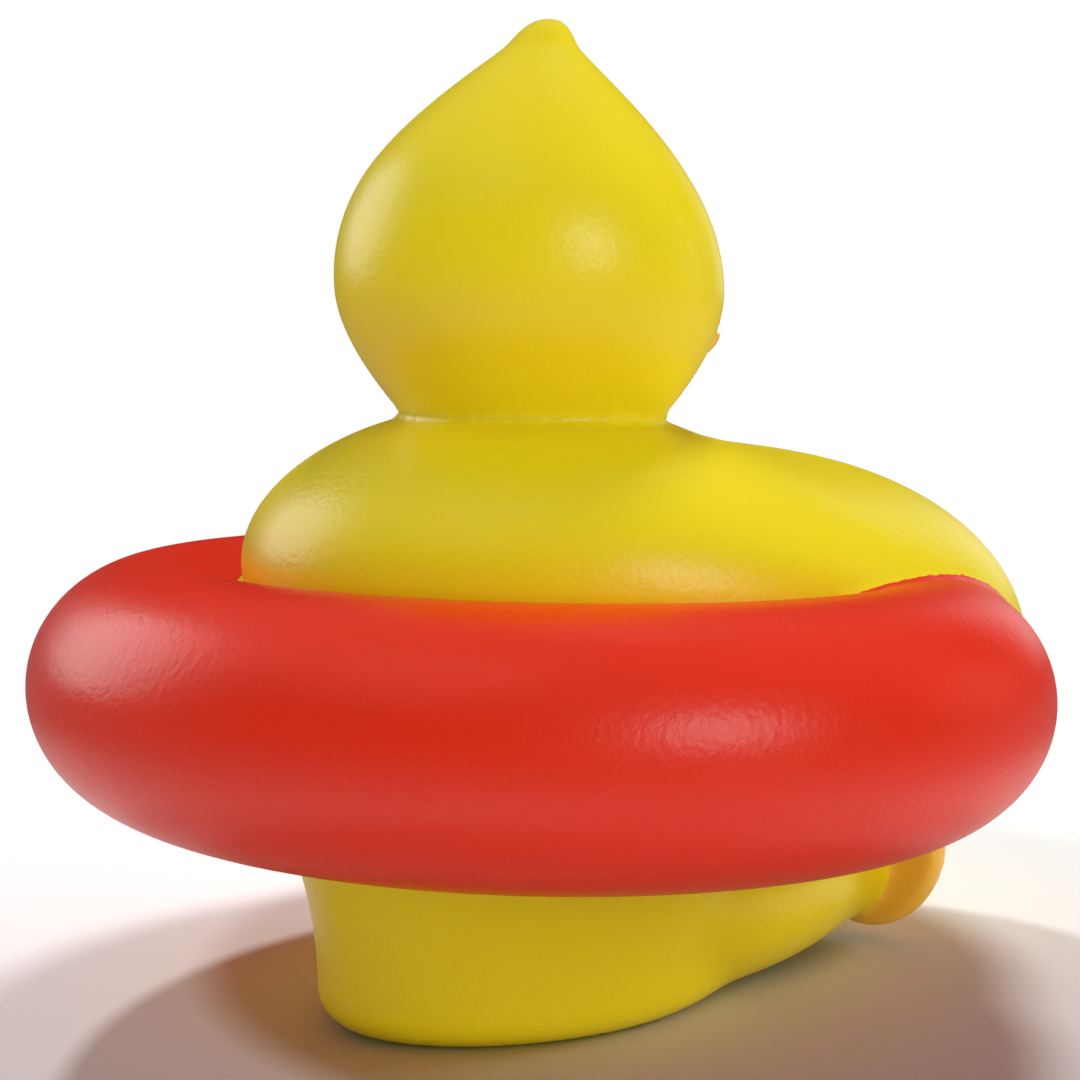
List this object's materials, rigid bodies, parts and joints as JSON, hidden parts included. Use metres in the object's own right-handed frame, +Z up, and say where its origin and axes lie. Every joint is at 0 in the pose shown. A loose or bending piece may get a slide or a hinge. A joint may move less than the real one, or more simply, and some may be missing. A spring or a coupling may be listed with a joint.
{
  "type": "rubber duck",
  "caption": "Soft vinyl bath duck moulded in one piece with the swim ring that it sits in, with a tufted head, stretched legs and flat webbed feet.",
  "frame": {"origin": "on the flat base, below the centre of the swim ring", "axes": "+Z up, -Y the way the duck looks, +X to the duck's left"},
  "size_m": [0.0942, 0.1044, 0.0903],
  "materials": {
    "vinyl": "satin"
  },
  "bodies": {
    "root": {"duck": "vinyl"}
  },
  "joints": []
}
